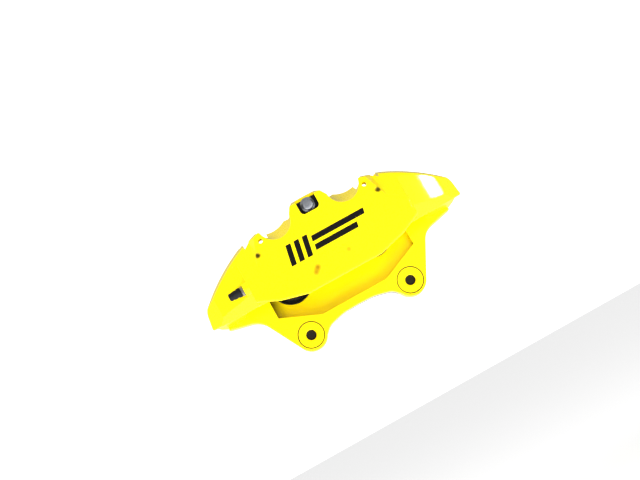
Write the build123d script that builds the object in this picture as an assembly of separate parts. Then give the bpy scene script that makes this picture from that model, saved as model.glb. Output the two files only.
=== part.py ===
from build123d import *
import math
import os

# Six-piston fixed brake caliper, bare: two cast halves bolted together over the disc.
# +X runs along the caliper, +Y points inboard to the knuckle, +Z points away from the hub.
# The origin is midway between the two ear bolts, on the face that meets the knuckle.
# Each half is drawn outboard of the disc; inboard pieces are mirrored across its middle plane.

os.makedirs("parts", exist_ok=True)

# Disc and overall layout, in millimetres
disc_axis_z = -80.0
disc_plane_y = -42.0
slot_radius = 181.0
slot_wall_y = -62.0
pocket_floor_y = -77.0
front_y = -114.0
wing_y = -98.0
fit_gap = 0.05
free_gap = 0.3

# Cast outline
outer_radius = 218.5
outer_front_radius = 207.0
outer_bevel_y = -72.0
lower_z = 32.8
lower_flat_half = 44.0
lower_knee_x = 76.0
lower_knee_z = 41.2
wing_lower_z = 51.0
wing_bevel_y = -80.0
wing_bevel_rise = 0.74
wing_bevel_back = 20.0
wing_bevel_front = 8.0
wing_bevel_length = 80.0
block_side_z = 52.0
block_half = 99.0
under_slope = 0.14
boss_half = 24.0
boss_flat_half = 15.0
boss_side_z = 118.0
boss_shoulder = (38.0, 126.0)
boss_top_z = 132.5
wing_corner_x = 139.0
wing_corner_y = -90.0
tip_x = 159.0
outboard_tip_plan = [(156.5, -42.0), (159.0, -64.0)]
inboard_tip_plan = [(156.5, -42.0), (152.0, -60.0)]
tip_top_x = 153.5
tip_top_z = 82.0
tip_round = 16.0
corner_facet_point = (79.7, 84.8)
corner_lower_normal = (0.307, -0.842, 0.444)
corner_inner_normal = (0.86, -0.45, 0.32)
cast_round = 2.0
seam_near_x = 86.0
seam_far_x = 97.0
plate_round = 1.5
dimple_x = 72.5
dimple_z = 97.0
dimple_radius = 3.0

# Scallops beside the middle boss
scallop_front = (40.6, 110.8, 14.8)
scallop_front_y = -124.0
scallop_back = (49.0, 158.6, 34.9)
scallop_back_y = -62.0

# Window and pad pocket
window_half = 84.0
pocket_half = 89.0
pocket_low_z = 14.3
pocket_low_half = 42.0
pocket_end_z = 34.5
open_top_z = 150.0
lug_inner_x = 55.0
lug_relief_z = 98.5
lug_back_y = -99.0

# Pistons: name, x, z and radius of each bore's piston
bores = [
    ("large", -57.5, 65.0, 21.0),
    ("medium", -2.0, 73.5, 20.0),
    ("small", 50.5, 65.0, 18.0),
]
bore_end_y = -106.0
piston_length = 26.0
piston_proud = 1.5
piston_wall = 4.5
piston_floor = 6.0
lip_groove_depth = 1.0
lip_groove_near = 1.2
lip_groove_far = 2.4
seal_y = -85.0
seal_width = 3.0
seal_depth = 3.0
boot_rim = 4.0
boot_depth = 3.0
boot_proud = 0.9
boot_gap = 0.2

# Pad pins, tie bolt and bridge bolts
pin_x = 63.9
pin_z = 108.4
pin_hole_radius = 2.6
tie_z = 119.3
tie_radius = 5.0
tie_head_radius = 8.4
tie_head_height = 10.5
tie_seat_y = -101.0
tie_pocket_half = 11.3
tie_pocket_low_z = 110.4
tie_pocket_round = 5.0
tie_head_chamfer = 1.6
tie_thread_proud = 11.0
sleeve_radius = 7.5
nut_flange_radius = 8.6
nut_flange_height = 2.0
nut_width = 15.0
nut_height = 9.0
nut_gap = 0.02
bridge_bolt_x = [111.5, 130.0]
bridge_bolt_circle = 195.0
bridge_bolt_radius = 6.0
bridge_head_radius = 9.0
bridge_head_height = 12.0
bridge_seat_y = -82.0
bridge_thread_end_y = -84.0
bridge_socket_width = 10.0
bridge_socket_depth = 7.0

# Fluid passages and bleed screws
gallery_y = -103.5
gallery_z = 71.4
gallery_radius = 2.0
crossover_x = 96.0
crossover_low_y = -74.0
crossover_exit_x = 62.0
crossover_exit_z = 66.0
bleed_y = -105.0
bleed_thread_radius = 4.5
bleed_seat_x = 86.0
bleed_boss_x = 105.0
bleed_boss_radius = 7.5
bleed_hex_width = 10.0
bleed_hex_length = 3.0
nipple_radius = 2.9
nipple_bead_radius = 3.5
nipple_length = 16.5
nipple_bore_radius = 1.0
cap_radius = 5.3
cap_straight = 4.0
cap_taper_length = 10.5
inlet_z = 73.5
inlet_radius = 4.5
inlet_depth = 12.0
inlet_boss_radius = 11.0
inlet_boss_height = 5.0
crossover_seal_inner = 3.2
crossover_seal_outer = 5.8
crossover_seal_height = 1.5
crossover_seal_room = 0.2

# Stainless plates that take the thrust of the pads, and their screws
plate_thickness = 1.2
plate_width = 14.6
plate_height = 36.0
plate_z = 82.0
plate_screw_z = 76.0
plate_screw_radius = 1.5
plate_screw_end_x = 93.5
plate_screw_head_radius = 2.8
plate_screw_head_height = 1.0

# Mounting ears on the inboard half
ear_x = 65.0
ear_radius = 18.6
ear_face_y = -22.0
ear_flank_angle = -28.0
ear_lower_outline = [(0, 4.8), (20, 4.4), (40, -0.8), (57, -16)]
ear_lower_rounds = [60, 14]
ear_wing_corner = (108.6, 41.5)
ear_wing_end = (145, 50)
ear_wing_round = 24.0
ear_top_x = 138.0
ear_top_z = 62.0
ear_pad_radius = 17.6
ear_pad_height = 1.0
ear_hole_radius = 6.1
ear_spot_radius = 15.3
ear_spot_depth = 0.7
ear_chamfer_width = 1.0
insert_radius = 8.0
insert_thread_radius = 5.25
insert_length = 17.0


def slab(face, y_from, y_to):
    """Extrude an (x, z) face towards -Y, from y_from to y_to."""
    return extrude(Plane.XZ.offset(-y_from) * face, amount=y_from - y_to)


def rod(x, z, radius, y_from, y_to):
    """A round bar along Y."""
    return slab(Pos(x, z) * Circle(radius), y_from, y_to)


def cross_rod(y, z, radius, x_from, x_to):
    """A round bar along X."""
    plane = Plane(origin=(x_from, y, z), z_dir=(1, 0, 0))
    return extrude(plane * Circle(radius), amount=x_to - x_from)


def drilling(start, end, radius):
    """A round hole between two points."""
    path = Vector(*end) - Vector(*start)
    plane = Plane(origin=start, z_dir=path)
    return extrude(plane * Circle(radius), amount=path.length)


def half_space(point, normal):
    """A large block on the outer side of a plane."""
    plane = Plane(origin=point, z_dir=normal)
    return extrude(plane * Rectangle(700, 700), amount=250)


def both_ends(shape):
    """The shape and its mirror image across the middle of the caliper."""
    return shape + mirror(shape, about=Plane.YZ)


def inboard(shape):
    """The same piece on the other side of the disc."""
    return mirror(shape, about=Plane.XZ.offset(-disc_plane_y))


def ring(x, z, outer, inner, y_from, y_to):
    """A flat ring round an axis along Y."""
    return rod(x, z, outer, y_from, y_to) - rod(x, z, inner, y_from, y_to)


def bridge_bolt_places():
    """Centres of the four bridge bolts, over the rim of the disc."""
    places = []
    for x in bridge_bolt_x:
        z = math.sqrt(bridge_bolt_circle**2 - x**2) + disc_axis_z
        places.append((x, z))
        places.append((-x, z))
    return places


def crossover_z():
    """Height of the fluid crossover, beside the bridge bolts of one end."""
    return math.sqrt(bridge_bolt_circle**2 - crossover_x**2) + disc_axis_z


def drafted(face, y_to):
    """Extrude an (x, z) face, drawn at y_to, whose underside rises towards the disc."""
    length = disc_plane_y - y_to
    start = Plane.XZ.offset(-disc_plane_y) * Pos(0, under_slope * length) * face
    path = Vector(0, -1, -under_slope)
    return extrude(start, amount=length * path.length, dir=path.normalized())


def mirrored_outline(right):
    """A closed face from points on its right side, from the bottom up."""
    left = [(-x, z) for x, z in reversed(right)]
    return make_face(Polyline(*right, *left, close=True))


def front_block():
    """The thick middle of a half, which holds the bores."""
    right = [
        (lower_flat_half, lower_z),
        (lower_knee_x, lower_knee_z),
        (block_half, block_side_z),
        (block_half, open_top_z),
    ]
    return drafted(mirrored_outline(right), front_y)


def wings():
    """The bridge ends of a half, out to the tips."""
    low_z = wing_lower_z - under_slope * (wing_bevel_y - wing_y)
    right = [(tip_x, low_z - 2.0), (tip_top_x, tip_top_z), (0.9 * tip_top_x, open_top_z)]
    base = mirrored_outline(right)
    full = slab(base & Pos(0, disc_axis_z) * Circle(outer_radius), disc_plane_y, wing_y)
    tips = full.edges().filter_by(Axis.Y).filter_by(lambda e: e.center().Z > low_z + 5.0)
    full = fillet(tips, tip_round)
    under = drafted(Pos(0, low_z + 100) * Rectangle(400, 200), wing_y)
    return full & under


def plan_outline(tip_plan):
    """Plan view of a half: the front block, the set-back wings and their end facets."""
    right = [
        *tip_plan,
        (wing_corner_x, wing_corner_y),
        (block_half, wing_y),
        (block_half, front_y),
    ]
    return mirrored_outline(right)


def outer_envelope():
    """The round outside of the caliper, bevelled towards its front."""
    barrel = rod(0, disc_axis_z, outer_radius, disc_plane_y, outer_bevel_y)
    plane = Plane(origin=(0, outer_bevel_y, disc_axis_z), z_dir=(0, -1, 0))
    depth = outer_bevel_y - front_y
    nose = Cone(outer_radius, outer_front_radius, depth, align=(Align.CENTER, Align.CENTER, Align.MIN))
    return barrel + plane * nose


def scallop():
    """The flared round cut between the middle boss and a pin lug."""
    sections = []
    for (x, z, radius), y in ((scallop_front, scallop_front_y), (scallop_back, scallop_back_y)):
        sections.append(Plane.XZ.offset(-y) * Pos(x, z) * Circle(radius))
    return loft(sections, ruled=True)


def boss_corner():
    """The flat top and the sloping shoulder of the middle boss."""
    points = [(boss_flat_half, boss_top_z), (boss_half, boss_side_z), boss_shoulder, (38, 145), (-1, 145)]
    points.append((-1, boss_top_z))
    return slab(make_face(Polyline(*points, close=True)), disc_plane_y, front_y - 5)


def corner_facet():
    """The sloping facet that takes off the front block's upper corner."""
    corner_x, corner_z = corner_facet_point
    corner = (corner_x, front_y, corner_z)
    lower_plane = half_space(corner, corner_lower_normal)
    inner_plane = half_space(corner, corner_inner_normal)
    return lower_plane & inner_plane


def wing_bevel():
    """The bevel along a wing's lower front edge."""
    low = (wing_bevel_y + wing_bevel_back, wing_lower_z - wing_bevel_back * wing_bevel_rise)
    high_y = wing_y - wing_bevel_front
    high = (high_y, wing_lower_z + (wing_bevel_y - high_y) * wing_bevel_rise)
    section = make_face(Polyline(high, low, (high[0], low[1]), close=True))
    plane = Plane(origin=(block_half, 0, 0), x_dir=(0, 1, 0), z_dir=(1, 0, 0))
    return extrude(plane * section, amount=wing_bevel_length)


def is_cast(edge):
    """True for an edge that the mould rounds, away from the split face and the window."""
    ends = edge.vertices()
    if all(seam_near_x < abs(v.X) < seam_far_x and v.Z < wing_lower_z + 5 for v in ends):
        return False  # the almost flat seam between a wing's underside and the block's
    flat_faces = (disc_plane_y, slot_wall_y)
    if any(all(abs(v.Y - y) < 0.01 for v in ends) for y in flat_faces):
        return False
    return not all(abs(abs(v.X) - window_half) < 0.01 for v in ends)


def half_blank(tip_plan):
    """Outer form of one half, with its cast edges rounded."""
    body = front_block() + wings()
    body = body & extrude(Plane.XY.offset(-60) * plan_outline(tip_plan), amount=250)
    body = body & outer_envelope()
    body = body - both_ends(boss_corner())
    body = body - both_ends(scallop())
    body = body - both_ends(corner_facet())
    body = body - both_ends(wing_bevel())
    body = body - slab(Pos(0, 100) * Rectangle(2 * window_half, 300), disc_plane_y + 5, slot_wall_y)
    body = body.solids()[0]
    body = body.fillet(cast_round, [edge for edge in body.edges() if is_cast(edge)])
    for x in (-dimple_x, dimple_x):
        body = body - Pos(x, front_y - dimple_radius / 2, dimple_z) * Sphere(dimple_radius)
    return body + cross_rod(bleed_y, gallery_z, bleed_boss_radius, -bleed_boss_x, 2 - block_half)


def window_and_pocket():
    """Everything open to the disc, the pads and the window above them."""
    middle_y = disc_plane_y + 30.0
    cut = rod(0, disc_axis_z, slot_radius, middle_y, slot_wall_y)
    cut = cut + slab(Pos(0, 100) * Rectangle(2 * window_half, 200), middle_y, slot_wall_y)
    right = [(pocket_low_half, pocket_low_z), (pocket_half, pocket_end_z), (pocket_half, open_top_z)]
    cut = cut + slab(mirrored_outline(right), slot_wall_y + 1.0, pocket_floor_y)
    relief_width = window_half - lug_inner_x
    relief = Pos(lug_inner_x + relief_width / 2, lug_relief_z + 30) * Rectangle(relief_width, 60)
    return cut + both_ends(slab(relief, pocket_floor_y + 1.0, lug_back_y))


def bore_cut(x, z, radius):
    """A piston bore with its seal groove and the seat of its dust boot."""
    cut = rod(x, z, radius + fit_gap, pocket_floor_y + 1.0, bore_end_y)
    cut = cut + rod(x, z, radius + seal_depth, seal_y, seal_y - seal_width)
    return cut + rod(x, z, radius + boot_rim, pocket_floor_y + 1.0, pocket_floor_y - boot_depth)


def tie_pocket():
    """The open-topped pocket for the head of the middle tie bolt."""
    width = 2 * tie_pocket_half
    shape = RectangleRounded(width, 50, tie_pocket_round)
    return slab(Pos(0, tie_pocket_low_z + 25) * shape, tie_seat_y, front_y - 10)


def half_cuts():
    """All the cuts that both halves share."""
    cut = window_and_pocket()
    for _, x, z, radius in bores:
        cut = cut + bore_cut(x, z, radius)
    for x in (-pin_x, pin_x):
        cut = cut + rod(x, pin_z, pin_hole_radius, pocket_floor_y, front_y - 5)
    cut = cut + rod(0, tie_z, tie_radius + free_gap, slot_wall_y + 5, front_y)
    cut = cut + tie_pocket()
    cut = cut + cross_rod(gallery_y, gallery_z, gallery_radius, -block_half, block_half + 1)
    bleed_end = 2.0 - bleed_seat_x
    cut = cut + cross_rod(bleed_y, gallery_z, bleed_thread_radius + fit_gap, -bleed_boss_x - 1, bleed_end)
    screw_y = (slot_wall_y + pocket_floor_y) / 2
    screw = cross_rod(screw_y, plate_screw_z, plate_screw_radius, pocket_half - 1, plate_screw_end_x)
    cut = cut + both_ends(screw)
    low = (crossover_x, crossover_low_y, crossover_z())
    cut = cut + drilling((crossover_x, disc_plane_y, crossover_z()), low, gallery_radius)
    end = (crossover_exit_x, gallery_y, crossover_exit_z)
    return cut + drilling(low, end, gallery_radius)


def outboard_housing():
    """The half on the wheel side, with blind threads for the bridge bolts."""
    body = half_blank(outboard_tip_plan) - half_cuts()
    for x, z in bridge_bolt_places():
        body = body - rod(x, z, bridge_bolt_radius, disc_plane_y, bridge_thread_end_y)
    return body


def ear_plate():
    """The flat plate of the inboard half that carries the mounting ears."""
    side = math.radians(ear_flank_angle)
    flank = (ear_x + ear_radius * math.cos(side), ear_radius * math.sin(side))
    middle, low = ear_lower_outline[0], ear_lower_outline[-1]
    inner = FilletPolyline(*ear_lower_outline, radius=ear_lower_rounds)
    outer = FilletPolyline(flank, ear_wing_corner, ear_wing_end, radius=ear_wing_round)
    lines = inner + Line(low, flank) + outer
    lines = lines + Polyline(ear_wing_end, (ear_top_x, ear_top_z), (0, ear_top_z), middle)
    half = make_face(lines) + Pos(ear_x, 0) * Circle(ear_radius)
    plate = slab(both_ends(half), -ear_pad_height, ear_face_y).solids()[0]
    faces_y = (-ear_pad_height, ear_face_y)
    rims = [
        edge
        for edge in plate.edges()
        if edge.center().Z < ear_wing_end[1] and any(abs(edge.center().Y - y) < 0.01 for y in faces_y)
    ]
    plate = plate.fillet(plate_round, rims)
    return plate + both_ends(rod(ear_x, 0, ear_pad_radius, 0, -2 * ear_pad_height))


def ear_chamfer(x):
    """The countersink at the mouth of an ear's hole."""
    spot_y = ear_face_y + ear_spot_depth
    plane = Plane(origin=(x, spot_y, 0), z_dir=(0, 1, 0))
    wide = ear_hole_radius + ear_chamfer_width
    align = (Align.CENTER, Align.CENTER, Align.MIN)
    return plane * Cone(wide, ear_hole_radius, ear_chamfer_width, align=align)


def ear_cuts():
    """Bolt holes, spot faces and insert seats in the two ears."""
    cut = None
    for x in (-ear_x, ear_x):
        hole = rod(x, 0, ear_hole_radius, 0, ear_face_y)
        hole = hole + rod(x, 0, insert_radius, 0, -insert_length)
        hole = hole + rod(x, 0, ear_spot_radius, ear_face_y + ear_spot_depth, ear_face_y - 1)
        hole = hole + ear_chamfer(x)
        cut = hole if cut is None else cut + hole
    return cut


def inboard_housing():
    """The half on the knuckle side, with the ears and the fluid inlet."""
    back_y = 2 * disc_plane_y - front_y
    body = inboard(half_blank(inboard_tip_plan)) + ear_plate()
    boss_y = back_y + inlet_boss_height
    body = body + rod(0, inlet_z, inlet_boss_radius, boss_y, back_y - 5)
    body = body - inboard(half_cuts()) - ear_cuts()
    body = body - rod(0, inlet_z, inlet_radius, boss_y, boss_y - inlet_depth)
    body = body - rod(0, inlet_z, gallery_radius, back_y, back_y - 10)
    seat = 2 * disc_plane_y - bridge_seat_y
    for x, z in bridge_bolt_places():
        body = body - rod(x, z, bridge_bolt_radius + free_gap, seat, disc_plane_y)
        body = body - rod(x, z, bridge_head_radius + free_gap, seat + 40, seat)
    outer = crossover_seal_outer + crossover_seal_room
    inner = crossover_seal_inner - crossover_seal_room
    top = disc_plane_y + crossover_seal_height
    return body - ring(crossover_x, crossover_z(), outer, inner, top, disc_plane_y)


def piston(x, z, radius):
    """A cup piston, open towards the pad, with a groove for the lip of its boot."""
    face_y = pocket_floor_y + piston_proud
    body = rod(x, z, radius, face_y, face_y - piston_length)
    hollow = rod(x, z, radius - piston_wall, face_y, face_y - piston_length + piston_floor)
    inner = radius - lip_groove_depth
    groove = ring(x, z, radius, inner, face_y - lip_groove_near, face_y - lip_groove_far)
    return body - hollow - groove


def seal(x, z, radius):
    """A square-section piston seal in its groove."""
    return ring(x, z, radius + seal_depth, radius + fit_gap, seal_y, seal_y - seal_width)


def boot(x, z, radius):
    """The rubber dust boot pressed into the mouth of a bore."""
    top = pocket_floor_y + boot_proud
    return ring(x, z, radius + boot_rim, radius + boot_gap, top, pocket_floor_y - boot_depth)


def tie_bolt():
    """The middle tie bolt, with a plain round head."""
    far_y = 2 * disc_plane_y - tie_seat_y
    bolt = rod(0, tie_z, tie_radius, far_y + tie_thread_proud, tie_seat_y)
    head = rod(0, tie_z, tie_head_radius, tie_seat_y, tie_seat_y - tie_head_height)
    rim = head.edges().filter_by(GeomType.CIRCLE).sort_by(Axis.Y)[0]
    return bolt + chamfer(rim, tie_head_chamfer)


def tie_sleeve():
    """The spacer tube on the tie bolt, across the window."""
    near_y = 2 * disc_plane_y - slot_wall_y
    return ring(0, tie_z, sleeve_radius, tie_radius + free_gap, near_y, slot_wall_y)


def tie_nut():
    """The flanged nut on the inboard end of the tie bolt."""
    seat = 2 * disc_plane_y - tie_seat_y
    flange = rod(0, tie_z, nut_flange_radius, seat + nut_flange_height, seat)
    hexagon = Pos(0, tie_z) * RegularPolygon(nut_width / 2, 6, major_radius=False)
    nut = flange + slab(hexagon, seat + nut_height, seat + 1)
    return nut - rod(0, tie_z, tie_radius + nut_gap, seat + nut_height + 1, seat)


def bridge_bolt(x, z):
    """A socket head cap screw, entered from the inboard side."""
    seat = 2 * disc_plane_y - bridge_seat_y
    shank = rod(x, z, bridge_bolt_radius, seat, bridge_thread_end_y + 2)
    head = rod(x, z, bridge_head_radius, seat + bridge_head_height, seat)
    rim = head.edges().filter_by(GeomType.CIRCLE).sort_by(Axis.Y)[-1]
    socket = Pos(x, z) * RegularPolygon(bridge_socket_width / 2, 6, major_radius=False)
    top = seat + bridge_head_height
    return shank + chamfer(rim, 1.0) - slab(socket, top + 1, top - bridge_socket_depth)


def bleed_screw():
    """A bleed screw along -X: cone, thread, hexagon and hose nipple."""
    plane = Plane(origin=(0, bleed_y, gallery_z), x_dir=(0, 1, 0), z_dir=(-1, 0, 0))
    screw = cross_rod(bleed_y, gallery_z, bleed_thread_radius, -bleed_boss_x - 1, -bleed_seat_x)
    hexagon = plane.offset(bleed_boss_x + 0.4) * RegularPolygon(bleed_hex_width / 2, 6, major_radius=False)
    screw = screw + extrude(hexagon, amount=bleed_hex_length)
    end = -bleed_boss_x - nipple_length
    screw = screw + cross_rod(bleed_y, gallery_z, nipple_radius, end, -bleed_boss_x)
    screw = screw + cross_rod(bleed_y, gallery_z, nipple_bead_radius, end + 1, end + 4)
    return screw - cross_rod(bleed_y, gallery_z, nipple_bore_radius, end - 1, -bleed_seat_x - 4)


def bleed_cap():
    """The rubber cap over the nipple of a bleed screw."""
    start = -bleed_boss_x - bleed_hex_length - 0.6
    taper_start = start - cap_straight
    cap = cross_rod(bleed_y, gallery_z, cap_radius, taper_start, start)
    plane = Plane(origin=(taper_start, bleed_y, gallery_z), z_dir=(-1, 0, 0))
    cap = cap + extrude(plane * Circle(cap_radius), amount=cap_taper_length, taper=6)
    hollow_end = -bleed_boss_x - nipple_length - 0.6
    return cap - cross_rod(bleed_y, gallery_z, nipple_bead_radius + fit_gap, hollow_end, start)


def gallery_plug():
    """The threaded plug that closes the end of the fluid gallery."""
    return cross_rod(gallery_y, gallery_z, gallery_radius, block_half - 8, block_half - 0.5)


def abutment_plate():
    """A thin steel plate on the end wall of the pad pocket, taking the pad's thrust."""
    x = pocket_half - plate_thickness / 2
    y = (slot_wall_y + pocket_floor_y) / 2
    plate = Pos(x, y, plate_z) * Box(plate_thickness, plate_width, plate_height)
    return plate - cross_rod(y, plate_screw_z, plate_screw_radius, pocket_half - 2, pocket_half + 1)


def abutment_screw():
    """The small round-headed screw that holds an abutment plate."""
    y = (slot_wall_y + pocket_floor_y) / 2
    face_x = pocket_half - plate_thickness
    head_x = face_x - plate_screw_head_height
    head = cross_rod(y, plate_screw_z, plate_screw_head_radius, head_x, face_x)
    return head + cross_rod(y, plate_screw_z, plate_screw_radius, face_x, plate_screw_end_x)


def ear_insert(x):
    """A closed-end steel thread insert in a mounting ear."""
    body = rod(x, 0, insert_radius, 0, -insert_length)
    return body - rod(x, 0, insert_thread_radius, 0, -insert_length + 2)


def crossover_seal():
    """The O-ring round the fluid crossover at the split face."""
    top = disc_plane_y + crossover_seal_height
    x = crossover_x
    return ring(x, crossover_z(), crossover_seal_outer, crossover_seal_inner, top, disc_plane_y)


def group(shapes):
    """Several loose solids as one part."""
    return Compound(children=[solid for shape in shapes for solid in shape.solids()])


def with_other_end(shape):
    """A piece and its twin at the other end, as separate solids."""
    return [shape, mirror(shape, about=Plane.YZ)]


nodes = {}
nodes["outboard_housing"] = outboard_housing()
nodes["inboard_housing"] = inboard_housing()
for size, x, z, radius in bores:
    for kind, maker in (("piston", piston), ("piston_seal", seal), ("dust_boot", boot)):
        piece = maker(x, z, radius)
        nodes[f"outboard_{kind}_{size}"] = piece
        nodes[f"inboard_{kind}_{size}"] = inboard(piece)
nodes["tie_bolt"] = tie_bolt()
nodes["tie_sleeve"] = tie_sleeve()
nodes["tie_nut"] = tie_nut()
nodes["bridge_bolts"] = group([bridge_bolt(x, z) for x, z in bridge_bolt_places()])
nodes["outboard_bleed_screw"] = bleed_screw()
nodes["inboard_bleed_screw"] = inboard(bleed_screw())
nodes["outboard_bleed_cap"] = bleed_cap()
nodes["inboard_bleed_cap"] = inboard(bleed_cap())
nodes["gallery_plugs"] = group([gallery_plug(), inboard(gallery_plug())])
nodes["crossover_seal"] = crossover_seal()
nodes["outboard_abutment_plates"] = group(with_other_end(abutment_plate()))
nodes["inboard_abutment_plates"] = group(with_other_end(inboard(abutment_plate())))
nodes["outboard_abutment_screws"] = group(with_other_end(abutment_screw()))
nodes["inboard_abutment_screws"] = group(with_other_end(inboard(abutment_screw())))
nodes["ear_inserts"] = group([ear_insert(-ear_x), ear_insert(ear_x)])

for name, shape in nodes.items():
    export_step(shape, f"parts/{name}.step")
    print(name, len(shape.solids()), round(shape.volume))
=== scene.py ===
import bpy
import math
from mathutils import Matrix, Vector


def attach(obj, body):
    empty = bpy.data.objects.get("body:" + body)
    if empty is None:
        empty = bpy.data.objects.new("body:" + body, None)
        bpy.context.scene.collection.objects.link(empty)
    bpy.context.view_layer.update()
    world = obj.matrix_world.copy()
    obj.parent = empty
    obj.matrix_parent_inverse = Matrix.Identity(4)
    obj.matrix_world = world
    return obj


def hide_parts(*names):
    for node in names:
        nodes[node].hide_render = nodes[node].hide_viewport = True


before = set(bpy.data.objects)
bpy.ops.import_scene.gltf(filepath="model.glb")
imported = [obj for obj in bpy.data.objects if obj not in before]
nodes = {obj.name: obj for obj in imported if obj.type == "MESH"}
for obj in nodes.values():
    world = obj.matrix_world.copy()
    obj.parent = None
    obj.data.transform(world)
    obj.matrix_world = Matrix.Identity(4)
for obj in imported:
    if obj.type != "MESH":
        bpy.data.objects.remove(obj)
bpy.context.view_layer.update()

# The two cast halves.
# Each is an aluminium casting, machined where it meets the disc, the pads and the knuckle,
# then powder coated in gloss yellow. The bridge bolts hold them together over the disc.


def new_finish(name, colour, roughness, metallic=0.0):
    """A Principled material, with the coordinates that its patterns read."""
    finish = bpy.data.materials.new(name)
    finish.use_nodes = True
    tree = finish.node_tree
    shader = tree.nodes["Principled BSDF"]
    shader.inputs["Base Color"].default_value = (*colour, 1.0)
    shader.inputs["Roughness"].default_value = roughness
    shader.inputs["Metallic"].default_value = metallic
    place = tree.nodes.new("ShaderNodeTexCoord").outputs["Object"]
    return finish, tree, shader, place


def grain(tree, place, scale, detail=3.0, roughness=0.55):
    """A noise pattern at a real scale: the number of cells in a metre."""
    noise = tree.nodes.new("ShaderNodeTexNoise")
    noise.inputs["Scale"].default_value = scale
    noise.inputs["Detail"].default_value = detail
    noise.inputs["Roughness"].default_value = roughness
    tree.links.new(place, noise.inputs["Vector"])
    return noise.outputs["Fac"]


def spread(tree, value, low, high, to_low, to_high):
    """The value mapped from one range to another, clamped."""
    node = tree.nodes.new("ShaderNodeMapRange")
    node.inputs["From Min"].default_value = low
    node.inputs["From Max"].default_value = high
    node.inputs["To Min"].default_value = to_low
    node.inputs["To Max"].default_value = to_high
    tree.links.new(value, node.inputs["Value"])
    return node.outputs["Result"]


def calculate(tree, operation, first, second):
    """One sum on two sockets or numbers."""
    node = tree.nodes.new("ShaderNodeMath")
    node.operation = operation
    for socket, value in ((node.inputs[0], first), (node.inputs[1], second)):
        if isinstance(value, (int, float)):
            socket.default_value = value
        else:
            tree.links.new(value, socket)
    return node.outputs["Value"]


def two_tone(tree, amount, first, second):
    """A colour between two, by an amount from 0 to 1."""
    mix = tree.nodes.new("ShaderNodeMix")
    mix.data_type = "RGBA"
    for socket, colour in ((mix.inputs["A"], first), (mix.inputs["B"], second)):
        if isinstance(colour, tuple):
            socket.default_value = (*colour, 1.0)
        else:
            tree.links.new(colour, socket)
    tree.links.new(amount, mix.inputs["Factor"])
    return mix.outputs["Result"]


def relief(tree, shader, height, depth, strength=1.0, below=None):
    """Surface relief of a real depth in metres, on top of any relief below it."""
    bump = tree.nodes.new("ShaderNodeBump")
    bump.inputs["Distance"].default_value = depth
    bump.inputs["Strength"].default_value = strength
    tree.links.new(height, bump.inputs["Height"])
    if below is not None:
        tree.links.new(below, bump.inputs["Normal"])
    tree.links.new(bump.outputs["Normal"], shader.inputs["Normal"])
    return bump.outputs["Normal"]


paint, tree, shader, place = new_finish("gloss_yellow_powder_coat", (0.95, 0.72, 0.008), 0.3)
shader.inputs["Specular IOR Level"].default_value = 0.1
shader.inputs["Coat Weight"].default_value = 0.35
shader.inputs["Coat Roughness"].default_value = 0.03

peel = grain(tree, place, 900.0, 2.0)
cast = grain(tree, place, 130.0, 3.0)
cloud = grain(tree, place, 22.0, 2.0)
under = relief(tree, shader, cast, 0.00006, 0.12)
relief(tree, shader, peel, 0.00001, 0.1, under)

parts = tree.nodes.new("ShaderNodeSeparateXYZ")
tree.links.new(place, parts.inputs["Vector"])
at_x, at_y, at_z = (parts.outputs[axis] for axis in "XYZ")
facing = tree.nodes.new("ShaderNodeSeparateXYZ")
tree.links.new(tree.nodes.new("ShaderNodeNewGeometry").outputs["Normal"], facing.inputs["Vector"])
off_centre = calculate(tree, "ABSOLUTE", at_x, 0.0)


def above(tree, value, limit):
    """1 where the value is more than the limit, else 0."""
    return calculate(tree, "GREATER_THAN", value, limit)


def below(tree, value, limit):
    """1 where the value is less than the limit, else 0."""
    return calculate(tree, "LESS_THAN", value, limit)


def all_of(tree, first, *others):
    """The product of several masks."""
    for other in others:
        first = calculate(tree, "MULTIPLY", first, other)
    return first


def distance_from(tree, place, point):
    """The distance from a point, in metres."""
    node = tree.nodes.new("ShaderNodeVectorMath")
    node.operation = "DISTANCE"
    tree.links.new(place, node.inputs[0])
    node.inputs[1].default_value = point
    return node.outputs["Value"]


def near(tree, place, point, inner, outer):
    """1 within the inner distance of a point, falling to 0 at the outer one."""
    return spread(tree, distance_from(tree, place, point), inner, outer, 1.0, 0.0)


# Bare metal shows where the halves are machined after painting: on the pads that meet
# the knuckle, and along the skimmed edge between the ears.
pad_top_z = 0.019
skim_half_length = 0.046
skim_top_z = 0.0058
skim_front_y = -0.0185
on_pads = all_of(
    tree,
    above(tree, at_y, -0.0003),
    below(tree, at_z, pad_top_z),
    above(tree, facing.outputs["Y"], 0.9),
)
skimmed = all_of(
    tree,
    below(tree, off_centre, skim_half_length),
    below(tree, facing.outputs["Z"], -0.6),
    below(tree, at_z, skim_top_z),
    above(tree, at_y, skim_front_y),
)
bare = calculate(tree, "MAXIMUM", on_pads, skimmed)
yellow = two_tone(tree, spread(tree, cloud, 0.3, 0.7, 0.0, 1.0), (0.95, 0.74, 0.0012), (0.96, 0.77, 0.002))

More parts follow.
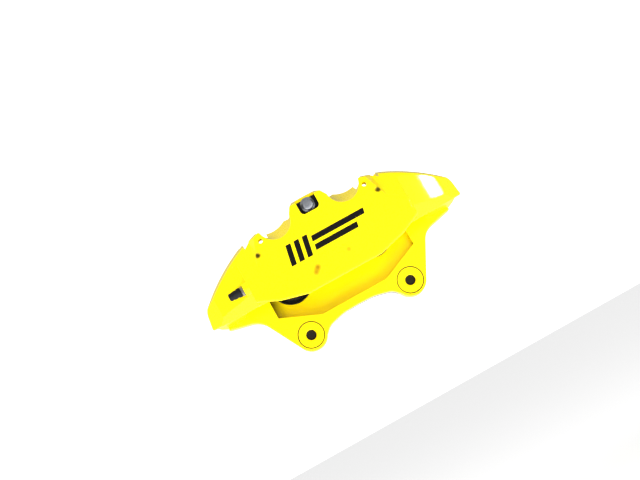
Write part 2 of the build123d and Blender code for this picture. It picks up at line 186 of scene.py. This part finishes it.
# Painted shade: two soft dents of the front are darkened brown, and dark painted shade lies in the
# dimples, in the step round each spot face and in one corner of the pad pocket.
# Painted shade in the two dents: a brown darkening round each point.
for dent, amount in (
    ((-0.0275, -0.114, 0.0495), 0.8),
    ((-0.0235, -0.114, 0.0535), 0.9),
    ((0.0150, -0.114, 0.0545), 0.6),
):
    dent_shade = calculate(tree, "MULTIPLY", near(tree, place, dent, 0.001, 0.0058), amount)
    yellow = two_tone(tree, dent_shade, yellow, (0.30, 0.12, 0.001))
# Painted shade in the two dimples of the front.
dimple_shade = [near(tree, place, (x, -0.1137, 0.0958), 0.0018, 0.0044) for x in (-0.0740, 0.0740)]
painted_shade = calculate(tree, "MAXIMUM", *dimple_shade)
spot_face_radius = 0.01528
# A thin ring of painted shade in the step round each spot face.
for ear_x in (-0.065, 0.065):
    from_ear = distance_from(tree, place, (ear_x, -0.0213, 0.0))
    from_step = calculate(tree, "ABSOLUTE", calculate(tree, "SUBTRACT", from_ear, spot_face_radius), 0.0)
    painted_shade = calculate(tree, "MAXIMUM", painted_shade, spread(tree, from_step, 0.0005, 0.00075, 0.97, 0.0))
# Painted shadow in the left corner of the pad pocket, darkest at the end wall.
pocket_end_x = -0.0895
pocket_middle_y = -0.0143
pocket_half_depth = 0.0075
from_middle = calculate(tree, "ABSOLUTE", calculate(tree, "SUBTRACT", at_y, pocket_middle_y), 0.0)
corner = all_of(
    tree,
    spread(tree, at_x, pocket_end_x, -0.0740, 1.0, 0.0),
    spread(tree, at_z, 0.052, 0.030, 1.0, 0.45),
    below(tree, from_middle, pocket_half_depth),
    above(tree, at_x, pocket_end_x),
    spread(tree, at_z, 0.055, 0.070, 1.0, 0.0),
)
painted_shade = calculate(tree, "MAXIMUM", painted_shade, calculate(tree, "POWER", corner, 1.2))
# All the painted shade is laid on the yellow as a dark brown.
yellow = two_tone(tree, painted_shade, yellow, (0.055, 0.038, 0.002))

# The recesses for the tie bolt's head and nut are coloured black.
disc_plane_y = -0.042
from_disc = calculate(tree, "ABSOLUTE", calculate(tree, "SUBTRACT", at_y, disc_plane_y), 0.0)
recess = all_of(
    tree,
    below(tree, off_centre, 0.01145),
    above(tree, at_z, 0.1102),
    below(tree, at_z, 0.1275),
    above(tree, from_disc, 0.0588),
    below(tree, from_disc, 0.0719),
)
coated = two_tone(tree, recess, yellow, (0.010, 0.010, 0.010))
tree.links.new(two_tone(tree, bare, coated, (0.50, 0.49, 0.50)), shader.inputs["Base Color"])
tree.links.new(bare, shader.inputs["Metallic"])
gloss = spread(tree, peel, 0.3, 0.7, 0.24, 0.34)
milled = calculate(tree, "MULTIPLY", bare, 0.42)
tree.links.new(calculate(tree, "MAXIMUM", gloss, milled), shader.inputs["Roughness"])


def wears(node, finish):
    """Gives a CAD node its finish."""
    for slot in nodes[node].material_slots:
        slot.material = finish


wears("outboard_housing", paint)
wears("inboard_housing", paint)

# The printed stripes on the front of the outboard half.
# Black pad-printed ink, a few hundredths of a millimetre thick, on top of the powder
# coat: three tall slanted bars and two long slanted stripes.

ink, tree, shader, place = new_finish("black_printed_ink", (0.003, 0.003, 0.003), 0.35)
shader.inputs["Specular IOR Level"].default_value = 0.2
screen = grain(tree, place, 2600.0, 2.0)
relief(tree, shader, screen, 0.000006, 0.3)
tree.links.new(spread(tree, screen, 0.3, 0.7, 0.3, 0.45), shader.inputs["Roughness"])

front_y = -0.1140
ink_thickness = 0.00006
bar_height = 0.0235
bar_slant = 0.0045
bars = []
for middle_x, middle_z, long, tall in (
    (-0.0445, 0.0790, 0.0062, bar_height),
    (-0.0345, 0.0790, 0.0062, bar_height),
    (-0.0245, 0.0790, 0.0062, bar_height),
    (0.0170, 0.0835, 0.0640, 0.0065),
    (0.0100, 0.0735, 0.0520, 0.0065),
):
    bpy.ops.object.select_all(action="DESELECT")
    bpy.ops.mesh.primitive_cube_add(size=1.0, location=(middle_x, front_y, middle_z))
    bar = bpy.context.object
    bar.scale = (long, ink_thickness, tall)
    bpy.ops.object.transform_apply(location=True, rotation=True, scale=True)
    bpy.ops.object.mode_set(mode="EDIT")
    bpy.ops.mesh.select_mode(type="VERT")
    bpy.ops.mesh.select_all(action="DESELECT")
    bpy.ops.object.mode_set(mode="OBJECT")
    for corner in bar.data.vertices:
        corner.select = corner.co.z > middle_z
    bpy.ops.object.mode_set(mode="EDIT")
    bpy.ops.transform.translate(value=(bar_slant * tall / bar_height, 0.0, 0.0))
    bpy.ops.mesh.select_mode(type="EDGE")
    bpy.ops.mesh.select_all(action="DESELECT")
    bpy.ops.object.mode_set(mode="OBJECT")
    for edge in bar.data.edges:
        start, end = (bar.data.vertices[i].co for i in edge.vertices)
        edge.select = abs((start - end).y) > ink_thickness / 2
    bpy.ops.object.mode_set(mode="EDIT")
    bpy.ops.mesh.bevel(offset=0.0007, segments=4, affect="EDGES")
    bpy.ops.object.mode_set(mode="OBJECT")
    bars.append(bar)
bpy.ops.object.select_all(action="DESELECT")
for bar in bars:
    bar.select_set(True)
bpy.context.view_layer.objects.active = bars[0]
bpy.ops.object.join()
stripes = bpy.context.object
stripes.name = "printed_stripes"
stripes.data.materials.append(ink)
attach(stripes, "caliper_body")

# The six pistons.
# Aluminium cups with a hard anodised, ground skirt and a turned mouth, in three sizes.
# Each slides in its bore on a seal, and its open end pushes on the pad.


def turned(name, centre, axis, outline, segments=72, ring=False):
    """A piece turned round an axis, from its outline as pairs of distance along it and radius."""
    direction = Vector(axis)
    centre = Vector(centre)
    along, radius = outline[0]
    bpy.ops.object.select_all(action="DESELECT")
    bpy.ops.mesh.primitive_circle_add(
        vertices=segments,
        radius=radius,
        fill_type="NOTHING" if ring else "NGON",
        location=centre + direction * along,
        rotation=direction.to_track_quat("Z", "Y").to_euler(),
    )
    piece = bpy.context.object
    piece.name = name
    bpy.ops.object.transform_apply(location=True, rotation=True, scale=True)
    bpy.ops.object.mode_set(mode="EDIT")
    bpy.ops.mesh.select_all(action="SELECT")
    for next_along, next_radius in outline[1:]:
        step = direction * (next_along - along)
        bpy.ops.mesh.extrude_region_move(TRANSFORM_OT_translate={"value": step})
        size = next_radius / radius
        bpy.ops.transform.resize(
            value=[1.0 if abs(d) > 0.5 else size for d in direction],
            center_override=centre + direction * next_along,
        )
        along, radius = next_along, next_radius
    bpy.ops.mesh.select_all(action="SELECT")
    bpy.ops.mesh.remove_doubles(threshold=0.000001)
    bpy.ops.mesh.normals_make_consistent(inside=False)
    bpy.ops.object.mode_set(mode="OBJECT")
    bpy.ops.object.shade_smooth_by_angle(angle=math.radians(30))
    return piece


def soften(piece, width, segments=2):
    """Breaks the sharp edges of a piece with a small round."""
    round_off = piece.modifiers.new("round_off", "BEVEL")
    round_off.width = width
    round_off.segments = segments
    round_off.limit_method = "ANGLE"
    round_off.angle_limit = math.radians(40)
    bpy.context.view_layer.objects.active = piece
    bpy.ops.object.modifier_apply(modifier="round_off")
    bpy.ops.object.select_all(action="DESELECT")
    piece.select_set(True)
    bpy.ops.object.shade_smooth_by_angle(angle=math.radians(35))


def turning_marks(tree, place, axis, scale):
    """Fine rings left by a lathe, across the given axis."""
    wave = tree.nodes.new("ShaderNodeTexWave")
    wave.wave_type = "BANDS"
    wave.bands_direction = axis
    wave.inputs["Scale"].default_value = scale
    wave.inputs["Distortion"].default_value = 1.2
    wave.inputs["Detail"].default_value = 2.0
    tree.links.new(place, wave.inputs["Vector"])
    return wave.outputs["Fac"]


anodised, tree, shader, place = new_finish("hard_anodised_alloy", (0.36, 0.36, 0.36), 0.34, 1.0)
marks = turning_marks(tree, place, "Y", 900.0)
relief(tree, shader, marks, 0.00001, 0.3)
smudge = grain(tree, place, 260.0)
tree.links.new(spread(tree, smudge, 0.3, 0.75, 0.26, 0.44), shader.inputs["Roughness"])
skirt = two_tone(
    tree, spread(tree, smudge, 0.35, 0.65, 0.0, 1.0), (0.33, 0.33, 0.34), (0.42, 0.41, 0.40)
)

# The crown, which meets the pad, has a matt black heat barrier coating.
height = tree.nodes.new("ShaderNodeSeparateXYZ")
tree.links.new(place, height.inputs["Vector"])
from_disc = calculate(tree, "SUBTRACT", height.outputs["Y"], disc_plane_y)
crown = below(tree, calculate(tree, "ABSOLUTE", from_disc, 0.0), 0.0352)
tree.links.new(two_tone(tree, crown, skirt, (0.006, 0.006, 0.006)), shader.inputs["Base Color"])
tree.links.new(calculate(tree, "SUBTRACT", 1.0, crown), shader.inputs["Metallic"])

bores = {
    "large": (-0.0575, 0.0650, 0.0210),
    "medium": (-0.0020, 0.0735, 0.0200),
    "small": (0.0505, 0.0650, 0.0180),
}
sides = {"outboard": (-0.077, 1.0), "inboard": (-0.007, -1.0)}
for side, (floor_y, out) in sides.items():
    for size, (x, z, r) in bores.items():
        outline = [
            (-0.0245, r - 0.0012),
            (-0.0237, r),
            (-0.0009, r),
            (-0.0009, r - 0.0010),
            (0.0003, r - 0.0010),
            (0.0003, r),
            (0.0010, r),
            (0.0015, r - 0.0005),
            (0.0015, r - 0.0040),
            (0.0010, r - 0.0045),
            (-0.0175, r - 0.0045),
            (-0.0185, r - 0.0055),
            (-0.0185, r - 0.0120),
            (-0.0178, r - 0.0130),
        ]
        cup = turned(f"{side}_piston_{size}_cup", (x, floor_y, z), (0, out, 0), outline, 96)
        cup.data.materials.append(anodised)
        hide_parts(f"{side}_piston_{size}")
        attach(cup, f"{side}_piston_{size}")

# The six dust boots.
# Moulded black rubber rings, pressed into the mouth of each bore, with one soft fold
# and a lip that wipes the skirt of the piston.

rubber, tree, shader, place = new_finish("moulded_black_rubber", (0.004, 0.004, 0.0045), 0.6)
shader.inputs["Specular IOR Level"].default_value = 0.4
bloom = grain(tree, place, 320.0, 4.0)
relief(tree, shader, grain(tree, place, 1800.0, 2.0), 0.00002, 0.3)
tree.links.new(spread(tree, bloom, 0.3, 0.7, 0.45, 0.68), shader.inputs["Roughness"])
bloomed = spread(tree, bloom, 0.45, 0.8, 0.0, 1.0)
black = two_tone(tree, bloomed, (0.004, 0.004, 0.0045), (0.010, 0.0095, 0.0095))
tree.links.new(black, shader.inputs["Base Color"])

for side, (floor_y, out) in sides.items():
    for size, (x, z, r) in bores.items():
        outline = [
            (-0.0030, r + 0.0040),
            (0.0002, r + 0.0040),
            (0.0006, r + 0.0037),
            (0.0009, r + 0.0032),
            (0.0008, r + 0.0027),
            (0.0003, r + 0.0024),
            (-0.0008, r + 0.0021),
            (-0.0010, r + 0.0017),
            (-0.0006, r + 0.0012),
            (0.0006, r + 0.0008),
            (0.0014, r + 0.0006),
            (0.0017, r + 0.0004),
            (0.0016, r + 0.0002),
            (-0.0009, r + 0.0003),
            (-0.0018, r + 0.0010),
            (-0.0021, r + 0.0017),
            (-0.0018, r + 0.0025),
            (-0.0010, r + 0.0030),
            (-0.0024, r + 0.0032),
            (-0.0030, r + 0.0036),
            (-0.0030, r + 0.0040),
        ]
        boot = turned(f"{side}_boot_{size}", (x, floor_y, z), (0, out, 0), outline, 96, ring=True)
        boot.data.materials.append(rubber)
        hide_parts(f"{side}_dust_boot_{size}")
        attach(boot, "caliper_body")

# The square-section piston seals and the O-ring of the crossover.
# Ground rubber rings, out of sight in their grooves.

for side in sides:
    for size in bores:
        wears(f"{side}_piston_seal_{size}", rubber)
wears("crossover_seal", rubber)

# The middle tie bolt, its spacer and its nut.
# A zinc-plated cold-headed bolt with a round head ties the two bosses together through
# a turned steel spacer, so that the body doesn't spread under pressure.

zinc, tree, shader, place = new_finish("zinc_plated_steel", (0.50, 0.53, 0.58), 0.32, 1.0)
spangle = grain(tree, place, 420.0, 3.0)
relief(tree, shader, grain(tree, place, 1500.0, 2.0), 0.00001, 0.3)
tree.links.new(spread(tree, spangle, 0.3, 0.7, 0.26, 0.42), shader.inputs["Roughness"])
tree.links.new(
    two_tone(tree, spread(tree, spangle, 0.3, 0.7, 0.0, 1.0), (0.46, 0.49, 0.55), (0.56, 0.58, 0.61)),
    shader.inputs["Base Color"],
)

tie_z = 0.1193
outline = [
    (0.0, 0.0046),
    (0.0003, 0.0054),
    (0.0006, 0.0058),
    (0.0016, 0.0064),
    (0.0022, 0.0075),
    (0.0026, 0.0083),
    (0.0034, 0.0084),
    (0.0105, 0.0084),
    (0.0105, 0.0050),
    (0.0110, 0.0050),
    (0.1380, 0.0050),
    (0.1392, 0.0040),
]
tie_bolt = turned("tie_bolt_turned", (0, -0.1115, tie_z), (0, 1, 0), outline)
soften(tie_bolt, 0.0002)
tie_bolt.data.materials.append(zinc)
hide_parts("tie_bolt")
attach(tie_bolt, "caliper_body")

turned_steel, tree, shader, place = new_finish("turned_bright_steel", (0.52, 0.52, 0.53), 0.3, 1.0)
relief(tree, shader, turning_marks(tree, place, "Y", 1400.0), 0.00001, 0.5)
tree.links.new(spread(tree, grain(tree, place, 200.0), 0.3, 0.7, 0.24, 0.4), shader.inputs["Roughness"])

outline = [
    (0.0, 0.0054),
    (0.0, 0.0069),
    (0.0006, 0.0075),
    (0.0394, 0.0075),
    (0.0400, 0.0069),
    (0.0400, 0.0054),
    (0.0, 0.0054),
]
spacer = turned("tie_spacer", (0, -0.062, tie_z), (0, 1, 0), outline, ring=True)
spacer.data.materials.append(turned_steel)
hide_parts("tie_sleeve")
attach(spacer, "caliper_body")

outline = [(0.0, 0.0086), (0.0012, 0.0086), (0.0020, 0.0080), (0.0021, 0.0074)]
washer_face = turned("nut_flange", (0, 0.017, tie_z), (0, 1, 0), outline)
outline = [(0.0012, 0.0080), (0.0018, 0.0086), (0.0082, 0.0086), (0.0089, 0.0078), (0.0089, 0.0055)]
hexagon = turned("tie_nut_body", (0, 0.017, tie_z), (0, 1, 0), outline, 6)
soften(hexagon, 0.0003)
bpy.ops.object.select_all(action="DESELECT")
washer_face.select_set(True)
hexagon.select_set(True)
bpy.context.view_layer.objects.active = hexagon
bpy.ops.object.join()
nut = bpy.context.object
nut.data.materials.append(zinc)
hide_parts("tie_nut")
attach(nut, "caliper_body")

# The four bridge bolts.
# M12 socket head cap screws in black oxide with a knurled head, entered from the
# inboard side into threads in the outboard half.

black_oxide, tree, shader, place = new_finish("black_oxide_steel", (0.045, 0.045, 0.048), 0.38, 0.9)
tree.links.new(spread(tree, grain(tree, place, 380.0), 0.3, 0.7, 0.3, 0.5), shader.inputs["Roughness"])
relief(tree, shader, grain(tree, place, 1600.0), 0.00001, 0.3)

head_seat_y = -0.002
outline = [
    (-0.080, 0.0048),
    (-0.078, 0.0060),
    (0.0, 0.0060),
    (0.0, 0.0086),
    (0.0004, 0.0089),
    (0.0112, 0.0089),
    (0.0120, 0.0081),
    (0.0120, 0.0074),
]
screw = turned("bridge_bolt_first", (0, head_seat_y, 0), (0, 1, 0), outline, 96)
bpy.ops.object.mode_set(mode="EDIT")
bpy.ops.mesh.select_mode(type="FACE")
bpy.ops.mesh.select_all(action="DESELECT")
bpy.ops.object.mode_set(mode="OBJECT")
knurl_pitch = 7.5
for face in screw.data.polygons:
    turn = math.degrees(math.atan2(face.center.z, face.center.x)) % knurl_pitch
    on_side = 0.002 < face.center.y - head_seat_y < 0.0095 and abs(face.normal.y) < 0.1
    face.select = on_side and turn < knurl_pitch / 2
bpy.ops.object.mode_set(mode="EDIT")
bpy.ops.mesh.inset(thickness=0.00008, depth=-0.0002)
bpy.ops.object.mode_set(mode="OBJECT")
bpy.ops.object.select_all(action="DESELECT")
bpy.ops.mesh.primitive_cylinder_add(
    vertices=6, radius=0.00577, depth=0.016, location=(0, 0.011, 0), rotation=(math.pi / 2, 0, 0)
)
key = bpy.context.object
bpy.ops.object.transform_apply(location=True, rotation=True, scale=True)
socket = screw.modifiers.new("socket", "BOOLEAN")
socket.operation = "DIFFERENCE"
socket.solver = "EXACT"
socket.object = key
bpy.context.view_layer.objects.active = screw
bpy.ops.object.modifier_apply(modifier="socket")
bpy.data.objects.remove(key)
soften(screw, 0.00015, 1)
screw.data.materials.append(black_oxide)

# The bolts stand on a circle round the axis of the disc, two at each end.
bolt_circle = 0.195
disc_axis_z = -0.080
bolts = [screw]
for _ in range(3):
    twin = screw.copy()
    twin.data = screw.data.copy()
    bpy.context.collection.objects.link(twin)
    bolts.append(twin)
for number, (bolt, x) in enumerate(zip(bolts, (0.1115, -0.1115, 0.130, -0.130)), 1):
    bolt.name = f"bridge_bolt_{number}"
    z = math.sqrt(bolt_circle**2 - x**2) + disc_axis_z
    bolt.data.transform(Matrix.Translation((x, 0.0, z)))
    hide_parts("bridge_bolts")
    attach(bolt, "caliper_body")
wears("gallery_plugs", black_oxide)

# The two bleed screws.
# Plated steel screws with a hexagon and a hose nipple, in the left end of each half.
# They turn out to let air and old fluid leave.

plated, tree, shader, place = new_finish("plated_bleed_steel", (0.38, 0.36, 0.38), 0.36, 1.0)
tree.links.new(spread(tree, grain(tree, place, 500.0), 0.3, 0.7, 0.3, 0.5), shader.inputs["Roughness"])
relief(tree, shader, grain(tree, place, 1400.0), 0.00001, 0.4)

gallery_z = 0.0714
bleed_y = {"outboard": -0.105, "inboard": 0.021}
boss_x = -0.105
for side, y in bleed_y.items():
    outline = [(0.0003, 0.0050), (0.0006, 0.0057), (0.0030, 0.0057), (0.0034, 0.0050)]
    hexagon = turned(f"{side}_bleed_hexagon", (boss_x, y, gallery_z), (-1, 0, 0), outline, 6)
    soften(hexagon, 0.0003)
    outline = [(-0.0190, 0.0012), (-0.0160, 0.0042)]
    for ridge in range(14):
        outline += [(-0.0155 + 0.0011 * ridge, 0.0045), (-0.0150 + 0.0011 * ridge, 0.0041)]
    outline += [
        (0.0032, 0.0040),
        (0.0045, 0.0031),
        (0.0124, 0.0029),
        (0.0128, 0.0034),
        (0.0150, 0.0032),
        (0.0163, 0.0022),
    ]
    stem = turned(f"{side}_bleed_stem", (boss_x, y, gallery_z), (-1, 0, 0), outline, 32)
    bpy.ops.object.select_all(action="DESELECT")
    stem.select_set(True)
    hexagon.select_set(True)
    bpy.context.view_layer.objects.active = hexagon
    bpy.ops.object.join()
    bleeder = bpy.context.object
    bleeder.data.materials.append(plated)
    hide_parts(f"{side}_bleed_screw")
    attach(bleeder, f"{side}_bleed_screw")

# The rubber caps over the nipples.
# Moulded black rubber, with a thick rim, a tapered grip and a rounded end. They keep
# dirt out of the drillings and pull off by hand.

for side, y in bleed_y.items():
    outline = [
        (0.0, 0.0036),
        (0.0, 0.0050),
        (0.0004, 0.0053),
        (0.0036, 0.0053),
        (0.0042, 0.0050),
        (0.0048, 0.0047),
        (0.0056, 0.0047),
        (0.0062, 0.0049),
        (0.0096, 0.0046),
        (0.0100, 0.0043),
        (0.0106, 0.0042),
        (0.0112, 0.0044),
        (0.0134, 0.0042),
        (0.0142, 0.0036),
        (0.0145, 0.0024),
    ]
    cap = turned(f"{side}_nipple_cap", (-0.1086, y, gallery_z), (-1, 0, 0), outline, 48)
    cap.data.materials.append(rubber)
    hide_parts(f"{side}_bleed_cap")
    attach(cap, f"{side}_bleed_cap")

# The abutment plates and their screws.
# Rolled stainless sheet on the end walls of the pad pocket, where the pads bear when
# the brake is on, each held by one round-headed screw.

stainless, tree, shader, place = new_finish("rolled_stainless", (0.55, 0.55, 0.54), 0.3, 1.0)
stretched = tree.nodes.new("ShaderNodeMapping")
stretched.inputs["Scale"].default_value = (1.0, 1.0, 0.05)
tree.links.new(place, stretched.inputs["Vector"])
rolling = grain(tree, stretched.outputs["Vector"], 2200.0)
relief(tree, shader, rolling, 0.00001, 0.35)
tree.links.new(spread(tree, rolling, 0.3, 0.7, 0.24, 0.42), shader.inputs["Roughness"])
for side in sides:
    wears(f"{side}_abutment_plates", stainless)
    wears(f"{side}_abutment_screws", stainless)

# The thread inserts in the mounting ears.
# Phosphated steel bushes with a closed end, pressed into the casting, which take the
# bolts from the knuckle.

phosphate, tree, shader, place = new_finish("dark_phosphated_steel", (0.010, 0.008, 0.006), 0.5, 0.4)
thread = tree.nodes.new("ShaderNodeTexWave")
thread.bands_direction = "Y"
thread.inputs["Scale"].default_value = 105.0
tree.links.new(place, thread.inputs["Vector"])
relief(tree, shader, thread.outputs["Fac"], 0.0006, 0.9)
tree.links.new(spread(tree, grain(tree, place, 700.0), 0.3, 0.7, 0.42, 0.6), shader.inputs["Roughness"])
wears("ear_inserts", phosphate)

# The studio.
# A plain pale floor well below, a white surround, three wide soft lights and one small
# one that shows as a bright patch in the gloss of the right-hand end.

bpy.ops.object.select_all(action="DESELECT")
bpy.ops.mesh.primitive_plane_add(size=14.0, location=(0.0, 0.0, -0.34))
floor = bpy.context.object
floor.name = "studio_floor"
pale, tree, shader, place = new_finish("pale_floor", (0.97, 0.97, 0.97), 0.7)
shader.inputs["Specular IOR Level"].default_value = 0.1
shader.inputs["Emission Color"].default_value = (1.0, 1.0, 1.0, 1.0)
shader.inputs["Emission Strength"].default_value = 0.45
tree.links.new(spread(tree, grain(tree, place, 3.0), 0.3, 0.7, 0.65, 0.8), shader.inputs["Roughness"])
floor.data.materials.append(pale)

world = bpy.data.worlds.new("white_surround")
bpy.context.scene.world = world
world.use_nodes = True
tree = world.node_tree
seen = tree.nodes["Background"]
seen.inputs["Color"].default_value = (1.0, 1.0, 1.0, 1.0)
seen.inputs["Strength"].default_value = 1.5
fill = tree.nodes.new("ShaderNodeBackground")
fill.inputs["Color"].default_value = (1.0, 1.0, 1.0, 1.0)
fill.inputs["Strength"].default_value = 0.42
chosen = tree.nodes.new("ShaderNodeMixShader")
tree.links.new(tree.nodes.new("ShaderNodeLightPath").outputs["Is Camera Ray"], chosen.inputs["Fac"])
tree.links.new(fill.outputs["Background"], chosen.inputs[1])
tree.links.new(seen.outputs["Background"], chosen.inputs[2])
tree.links.new(chosen.outputs["Shader"], tree.nodes["World Output"].inputs["Surface"])


def softbox(name, place, aim, width, height, power, mirrored=False):
    """A soft rectangular light that faces a point; only a mirrored one shows in the gloss."""
    light = bpy.data.lights.new(name, "AREA")
    light.shape = "RECTANGLE"
    light.size = width
    light.size_y = height
    light.energy = power
    lamp = bpy.data.objects.new(name, light)
    lamp.location = place
    lamp.rotation_euler = (Vector(aim) - Vector(place)).to_track_quat("-Z", "Y").to_euler()
    lamp.visible_glossy = mirrored
    bpy.context.collection.objects.link(lamp)


middle = (0.0, -0.05, 0.06)
softbox("key_light", (-0.9, -1.0, 1.1), middle, 0.9, 0.7, 19.0)
softbox("fill_light", (0.55, -1.9, -0.1), middle, 0.9, 0.9, 15.0)
softbox("under_light", (0.0, -0.25, -0.33), (0.0, -0.2, 1.0), 1.3, 0.8, 7.5)
softbox("right_window_light", (0.647, -0.94, 0.208), (0.13, -0.092, 0.075), 0.025, 0.056, 0.5, True)

# The camera.
# It looks slightly up at the front of the caliper and is rolled, so that the caliper
# rises to the right.

lens = bpy.data.cameras.new("camera")
lens.sensor_width = 36.0
lens.lens = 63.84
lens.clip_start = 0.05
lens.clip_end = 60.0
camera = bpy.data.objects.new("camera", lens)
bpy.context.collection.objects.link(camera)
ahead = Vector((0.04319, 0.98933, 0.13917)).normalized()
level_right = ahead.cross(Vector((0, 0, 1))).normalized()
level_up = level_right.cross(ahead)
roll = math.radians(29.27)
right = math.cos(roll) * level_right - math.sin(roll) * level_up
up = math.sin(roll) * level_right + math.cos(roll) * level_up
turn = Matrix((right, up, -ahead)).transposed()
camera.matrix_world = Matrix.Translation((-0.0600, -1.3205, -0.0917)) @ turn.to_4x4()
bpy.context.scene.camera = camera

bpy.context.scene.view_settings.view_transform = "Standard"
